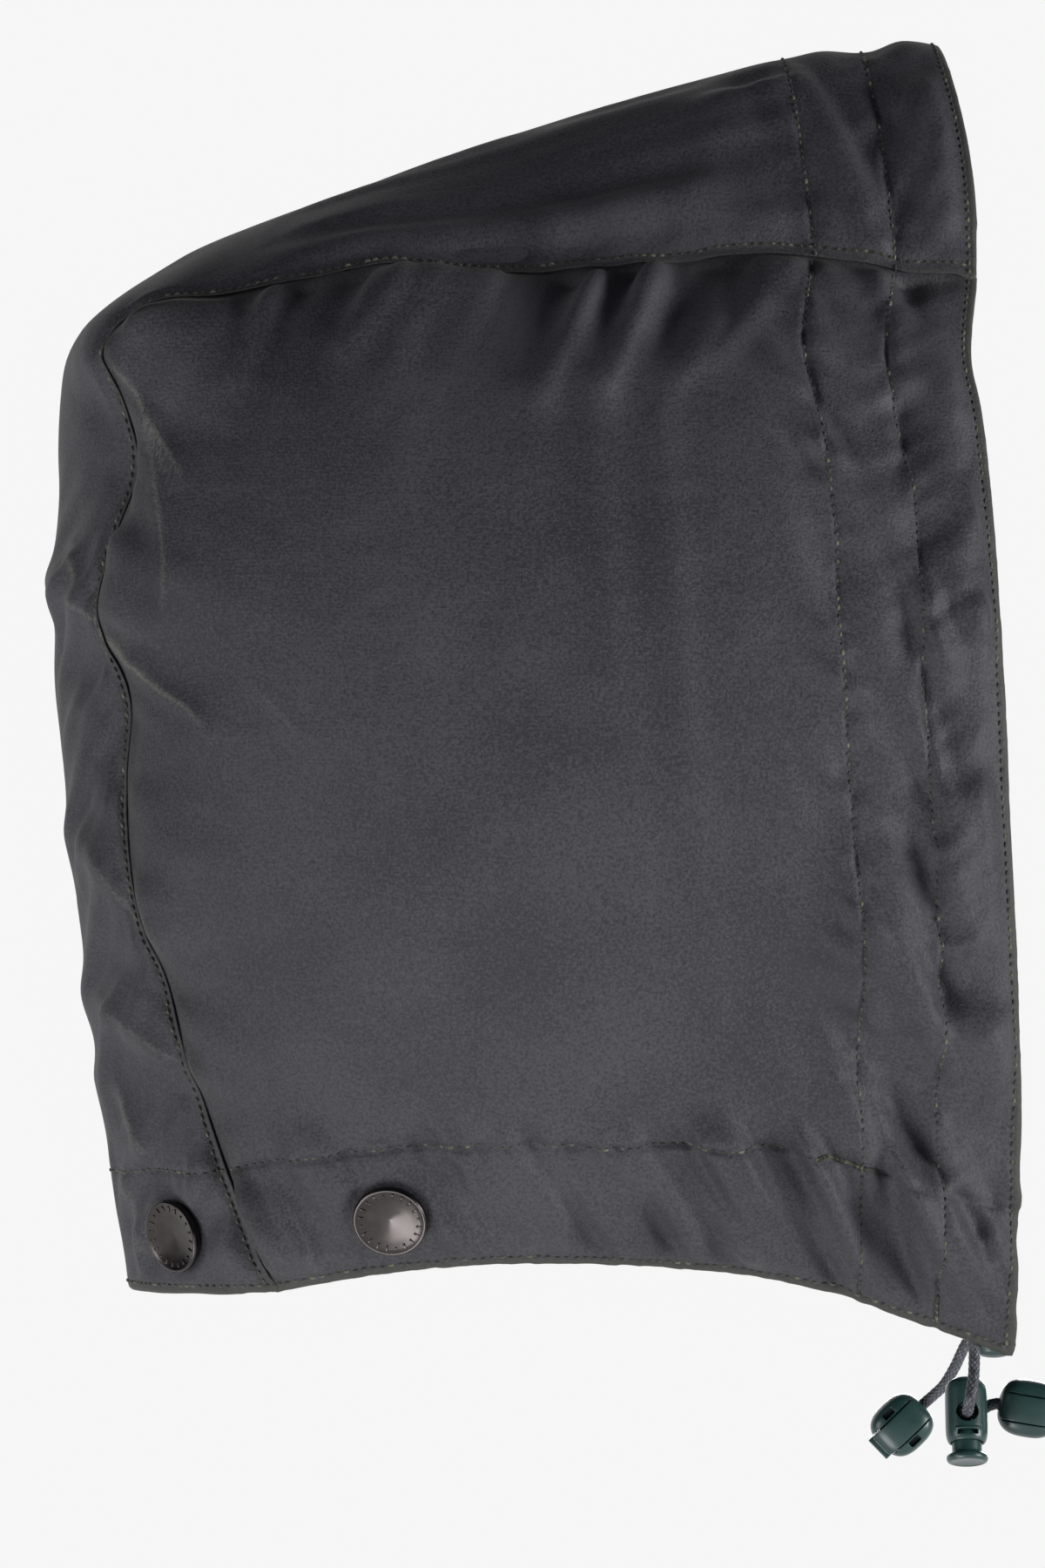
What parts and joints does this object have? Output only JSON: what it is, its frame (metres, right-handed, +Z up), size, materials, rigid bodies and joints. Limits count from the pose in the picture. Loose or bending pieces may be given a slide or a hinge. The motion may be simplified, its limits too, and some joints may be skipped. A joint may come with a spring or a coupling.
{
  "type": "detachable hood",
  "caption": "Detachable waxed-cotton hood with a lapped centre panel, press studs along the neckline and a drawcord with cord locks and plastic ends at the face opening.",
  "frame": {"origin": "on the hood's middle plane at the height of the collar, half way between its back and its face edge, where the studs pin it to a coat's collar", "axes": "+X towards the face opening, +Y towards the wearer's left, +Z up"},
  "size_m": [0.2693, 0.1936, 0.3816],
  "materials": {
    "cloth": "waxed cotton, matt with a low sheen",
    "stud": "gunmetal, polished rim",
    "plastic": "dark green, glossy",
    "cord": "braided"
  },
  "bodies": {
    "hood": {"side_panel_right": "cloth", "side_panel_left": "cloth", "crown_panel": "cloth", "neck_facing": "cloth", "face_facing": "cloth", "stud_cap_side_right": "stud", "stud_cap_side_left": "stud", "stud_cap_nape_right": "stud", "stud_cap_nape_left": "stud", "stud_socket_side_right": "stud", "stud_socket_side_left": "stud", "stud_socket_nape_right": "stud", "stud_socket_nape_left": "stud", "drawcord_right": "cord", "drawcord_left": "cord", "lock_barrel_right": "plastic", "lock_barrel_left": "plastic", "cord_end_body_right": "plastic", "cord_end_body_left": "plastic", "cord_end_clip_right": "plastic", "cord_end_clip_left": "plastic"},
    "plunger_right": {"lock_plunger_right": "plastic"},
    "plunger_left": {"lock_plunger_left": "plastic"}
  },
  "joints": [
    {"name": "plunger_press_right", "type": "slide", "parent": "hood", "child": "plunger_right", "axis": [0, 0.342, 0.9397], "range_m": [0, 0.0025], "stiffness_N_per_m": 600, "springref_m": -0.001},
    {"name": "plunger_press_left", "type": "slide", "parent": "hood", "child": "plunger_left", "axis": [0, 0, -1], "range_m": [0, 0.0025], "stiffness_N_per_m": 600, "springref_m": -0.001}
  ]
}
